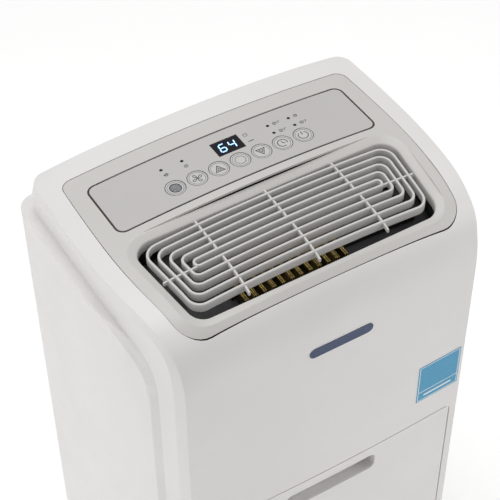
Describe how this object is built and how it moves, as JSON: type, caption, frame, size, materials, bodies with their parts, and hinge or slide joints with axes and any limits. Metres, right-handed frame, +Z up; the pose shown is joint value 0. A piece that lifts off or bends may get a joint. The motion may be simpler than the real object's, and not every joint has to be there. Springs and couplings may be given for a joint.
{
  "type": "dehumidifier",
  "caption": "Upright white portable dehumidifier with a crowned grey control top, slotted air outlet, front water bucket, rear filter grille and swivel casters.",
  "frame": {"origin": "on the floor, under the middle of the casing", "axes": "+X to the right seen from the front, +Y towards the back, +Z up"},
  "size_m": [0.382, 0.2794, 0.6169],
  "materials": {
    "white_shell": "fine matt texture",
    "grey_panel": "fine matt texture",
    "overlay_film": "satin film",
    "key_plastic": "satin",
    "lamp_lens": "gloss",
    "display_black": "gloss",
    "board_green": "satin",
    "smoked_bucket": "satin",
    "bucket_trim": "satin",
    "float_white": "matt",
    "black_plastic": "matt",
    "filter_net": "fine net",
    "galvanised": "dull zinc",
    "black_paint": "semi gloss",
    "gold_fin": "gold coated",
    "fin": "bare",
    "can": "satin",
    "copper": "drawn copper tube",
    "grey_fitting": "satin",
    "plug_rubber": "matt",
    "wheel": "satin",
    "screw_zinc": "bright zinc",
    "label_blue": "gloss film",
    "badge_navy": "gloss"
  },
  "bodies": {
    "casing": {"front_shell": "white_shell", "rear_shell": "white_shell", "top_panel": "grey_panel", "control_overlay": "overlay_film", "display_window": "display_black", "control_board": "board_green", "outlet_grille": "white_shell", "level_switch": "black_plastic", "base_pan": "galvanised", "bulkhead": "galvanised", "compressor": "black_paint", "evaporator_coil": "gold_fin", "condenser_coil": "fin", "drip_tray": "galvanised", "fan_scroll": "black_plastic", "fan_motor": "galvanised", "capacitor": "can", "electrical_box": "galvanised", "suction_pipe": "copper", "discharge_pipe": "copper", "drain_outlet": "grey_fitting", "cord_inlet": "black_plastic", "energy_label": "label_blue", "name_badge": "badge_navy", "indicator_lamp_1": "lamp_lens", "indicator_lamp_2": "lamp_lens", "indicator_lamp_3": "lamp_lens", "indicator_lamp_4": "lamp_lens", "indicator_lamp_5": "lamp_lens", "indicator_lamp_6": "lamp_lens", "case_screw_lower_left": "screw_zinc", "case_screw_lower_right": "screw_zinc", "case_screw_upper_left": "screw_zinc", "case_screw_upper_right": "screw_zinc"},
    "bucket": {"water_bucket": "smoked_bucket", "bucket_face": "white_shell", "bucket_lid": "bucket_trim"},
    "handle": {"bucket_handle": "bucket_trim"},
    "float": {"bucket_float": "float_white"},
    "intake": {"intake_grille": "grey_panel", "filter_frame": "black_plastic", "filter_mesh": "filter_net"},
    "fan_wheel": {"blower_wheel": "black_plastic"},
    "plug": {"drain_plug": "plug_rubber"},
    "filter_button": {"filter_key": "key_plastic"},
    "fan_button": {"fan_key": "key_plastic"},
    "up_button": {"up_key": "key_plastic"},
    "mode_button": {"mode_key": "key_plastic"},
    "down_button": {"down_key": "key_plastic"},
    "timer_button": {"timer_key": "key_plastic"},
    "power_button": {"power_key": "key_plastic"},
    "caster_front_left": {"caster_fork_front_left": "galvanised"},
    "wheel_front_left": {"caster_wheel_front_left": "wheel"},
    "caster_front_right": {"caster_fork_front_right": "galvanised"},
    "wheel_front_right": {"caster_wheel_front_right": "wheel"},
    "caster_rear_left": {"caster_fork_rear_left": "galvanised"},
    "wheel_rear_left": {"caster_wheel_rear_left": "wheel"},
    "caster_rear_right": {"caster_fork_rear_right": "galvanised"},
    "wheel_rear_right": {"caster_wheel_rear_right": "wheel"}
  },
  "joints": [
    {"name": "bucket_slide", "type": "slide", "parent": "casing", "child": "bucket", "axis": [0, -1, 0], "range_m": [0, 0.3]},
    {"name": "handle_swing", "type": "hinge", "parent": "bucket", "child": "handle", "pos_m": [0, -0.06, 0.296], "axis": [1, 0, 0], "range_deg": [0, 56]},
    {"name": "float_rise", "type": "slide", "parent": "bucket", "child": "float", "axis": [0, 0, 1], "range_m": [0, 0.17]},
    {"name": "intake_pull", "type": "slide", "parent": "casing", "child": "intake", "axis": [0, 1, 0], "range_m": [0, 0.06]},
    {"name": "fan_spin", "type": "hinge", "parent": "casing", "child": "fan_wheel", "pos_m": [0, -0.04, 0.458], "axis": [0, 1, 0], "continuous": true},
    {"name": "plug_pull", "type": "slide", "parent": "casing", "child": "plug", "axis": [0, 1, 0], "range_m": [0, 0.03]},
    {"name": "filter_press", "type": "slide", "parent": "casing", "child": "filter_button", "axis": [0, 0, -1], "range_m": [0, 0.0006], "stiffness_N_per_m": 900, "springref_m": -0.0006},
    {"name": "fan_press", "type": "slide", "parent": "casing", "child": "fan_button", "axis": [0, 0, -1], "range_m": [0, 0.0006], "stiffness_N_per_m": 900, "springref_m": -0.0006},
    {"name": "up_press", "type": "slide", "parent": "casing", "child": "up_button", "axis": [0, 0, -1], "range_m": [0, 0.0006], "stiffness_N_per_m": 900, "springref_m": -0.0006},
    {"name": "mode_press", "type": "slide", "parent": "casing", "child": "mode_button", "axis": [0, 0, -1], "range_m": [0, 0.0006], "stiffness_N_per_m": 900, "springref_m": -0.0006},
    {"name": "down_press", "type": "slide", "parent": "casing", "child": "down_button", "axis": [0, 0, -1], "range_m": [0, 0.0006], "stiffness_N_per_m": 900, "springref_m": -0.0006},
    {"name": "timer_press", "type": "slide", "parent": "casing", "child": "timer_button", "axis": [0, 0, -1], "range_m": [0, 0.0006], "stiffness_N_per_m": 900, "springref_m": -0.0006},
    {"name": "power_press", "type": "slide", "parent": "casing", "child": "power_button", "axis": [0, 0, -1], "range_m": [0, 0.0006], "stiffness_N_per_m": 900, "springref_m": -0.0006},
    {"name": "swivel_front_left", "type": "hinge", "parent": "casing", "child": "caster_front_left", "pos_m": [-0.148, -0.072, 0.033], "axis": [0, 0, 1], "continuous": true},
    {"name": "roll_front_left", "type": "hinge", "parent": "caster_front_left", "child": "wheel_front_left", "pos_m": [-0.148, -0.069, 0.014], "axis": [1, 0, 0], "continuous": true},
    {"name": "swivel_front_right", "type": "hinge", "parent": "casing", "child": "caster_front_right", "pos_m": [0.148, -0.072, 0.033], "axis": [0, 0, 1], "continuous": true},
    {"name": "roll_front_right", "type": "hinge", "parent": "caster_front_right", "child": "wheel_front_right", "pos_m": [0.148, -0.069, 0.014], "axis": [1, 0, 0], "continuous": true},
    {"name": "swivel_rear_left", "type": "hinge", "parent": "casing", "child": "caster_rear_left", "pos_m": [-0.148, 0.104, 0.033], "axis": [0, 0, 1], "continuous": true},
    {"name": "roll_rear_left", "type": "hinge", "parent": "caster_rear_left", "child": "wheel_rear_left", "pos_m": [-0.148, 0.107, 0.014], "axis": [1, 0, 0], "continuous": true},
    {"name": "swivel_rear_right", "type": "hinge", "parent": "casing", "child": "caster_rear_right", "pos_m": [0.148, 0.104, 0.033], "axis": [0, 0, 1], "continuous": true},
    {"name": "roll_rear_right", "type": "hinge", "parent": "caster_rear_right", "child": "wheel_rear_right", "pos_m": [0.148, 0.107, 0.014], "axis": [1, 0, 0], "continuous": true}
  ]
}
